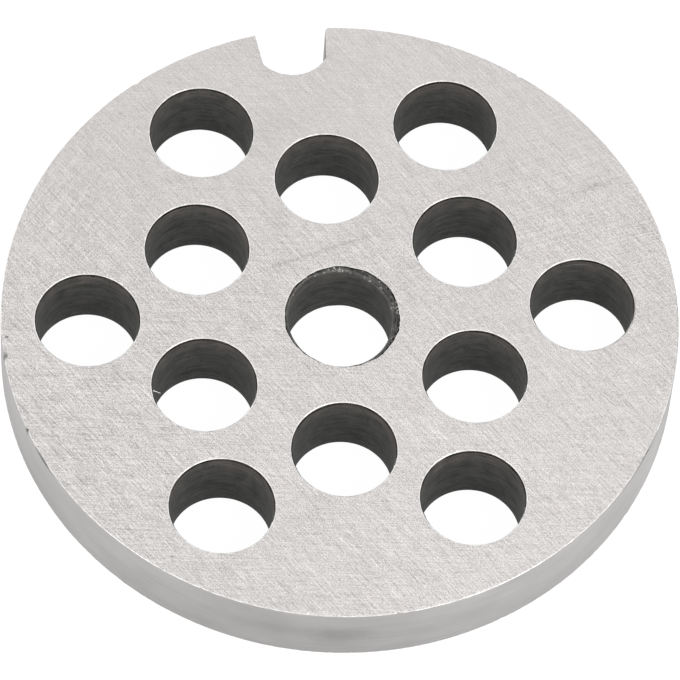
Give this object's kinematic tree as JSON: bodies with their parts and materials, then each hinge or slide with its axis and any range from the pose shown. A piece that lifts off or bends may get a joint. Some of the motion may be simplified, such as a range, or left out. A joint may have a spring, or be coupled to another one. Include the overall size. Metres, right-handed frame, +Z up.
{
  "type": "meat grinder plate",
  "caption": "Flat round steel grinder plate with a drilled grid of passages, a countersunk stud bore and a key notch in the rim.",
  "frame": {"origin": "centre of the disc's underside, on the axis of the stud bore", "axes": "+Z up through the plate towards the face the knife runs on, +Y out of the key notch"},
  "size_m": [0.0536, 0.0534, 0.0062],
  "materials": {
    "ground_steel": "ground faces with fine straight marks, satin turned rim, dark scale in the drilled holes"
  },
  "bodies": {
    "root": {"grinder_plate": "ground_steel"}
  },
  "joints": []
}
